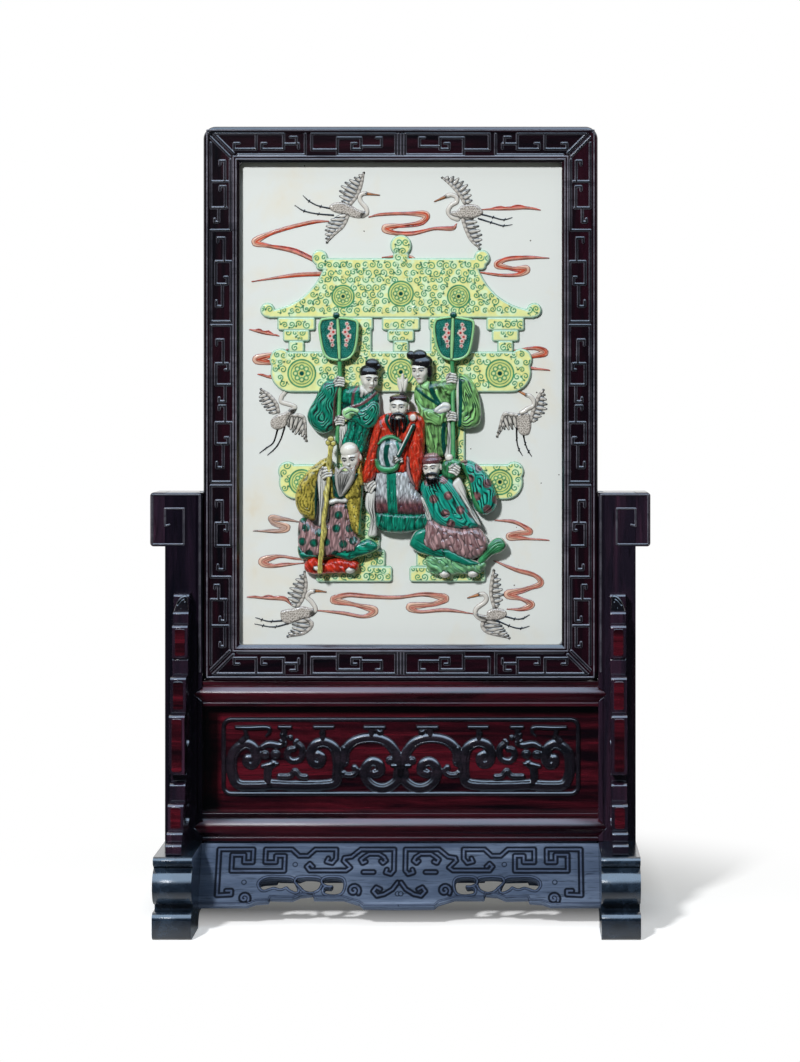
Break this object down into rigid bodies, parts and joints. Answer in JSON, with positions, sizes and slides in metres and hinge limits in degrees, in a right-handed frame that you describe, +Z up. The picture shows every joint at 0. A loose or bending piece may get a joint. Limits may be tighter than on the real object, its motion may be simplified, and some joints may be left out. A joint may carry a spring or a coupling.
{
  "type": "chinese table screen",
  "caption": "Upright table screen: a relief porcelain plaque in a mitred hardwood frame that lifts out of a carved stand with grooved posts, spandrels, aprons and shaped feet.",
  "frame": {"origin": "on the table under the middle of the stand, midway between the two feet and between the front and back ends of the feet", "axes": "+Z up, +X to the viewer's right, +Y to the back, so the plaque faces -Y"},
  "size_m": [0.3618, 0.17, 0.5747],
  "materials": {
    "dark_hardwood": "waxed polish",
    "red_hardwood": "waxed polish",
    "white_glaze": "glossy glaze",
    "yellow_green_enamel": "enamel",
    "red_enamel": "enamel",
    "yellow_enamel": "enamel",
    "green_enamel": "enamel"
  },
  "bodies": {
    "stand": {"left_post": "dark_hardwood", "right_post": "dark_hardwood", "left_post_head": "red_hardwood", "right_post_head": "red_hardwood", "left_foot": "dark_hardwood", "right_foot": "dark_hardwood", "upper_rail": "dark_hardwood", "lower_rail": "dark_hardwood", "carved_panel": "red_hardwood", "front_apron": "dark_hardwood", "back_apron": "dark_hardwood", "spandrel_front_left": "red_hardwood", "spandrel_front_right": "red_hardwood", "spandrel_back_left": "red_hardwood", "spandrel_back_right": "red_hardwood", "planted_tenons": "dark_hardwood"},
    "panel": {"plaque": "white_glaze", "relief_gateway": "yellow_green_enamel", "figure_centre": "red_enamel", "figure_left_elder": "yellow_enamel", "figure_right_elder": "green_enamel", "figure_left_attendant": "green_enamel", "figure_right_attendant": "green_enamel", "fan_left": "green_enamel", "fan_right": "green_enamel", "staff": "yellow_enamel", "frame_top_rail": "dark_hardwood", "frame_bottom_rail": "dark_hardwood", "frame_left_stile": "dark_hardwood", "frame_right_stile": "dark_hardwood", "back_board": "red_hardwood", "back_strip_top": "dark_hardwood", "back_strip_bottom": "dark_hardwood", "back_strip_left": "dark_hardwood", "back_strip_right": "dark_hardwood"}
  },
  "joints": [
    {"name": "panel_lift", "type": "slide", "parent": "stand", "child": "panel", "axis": [0, 0, 1], "range_m": [0, 0.145]}
  ]
}
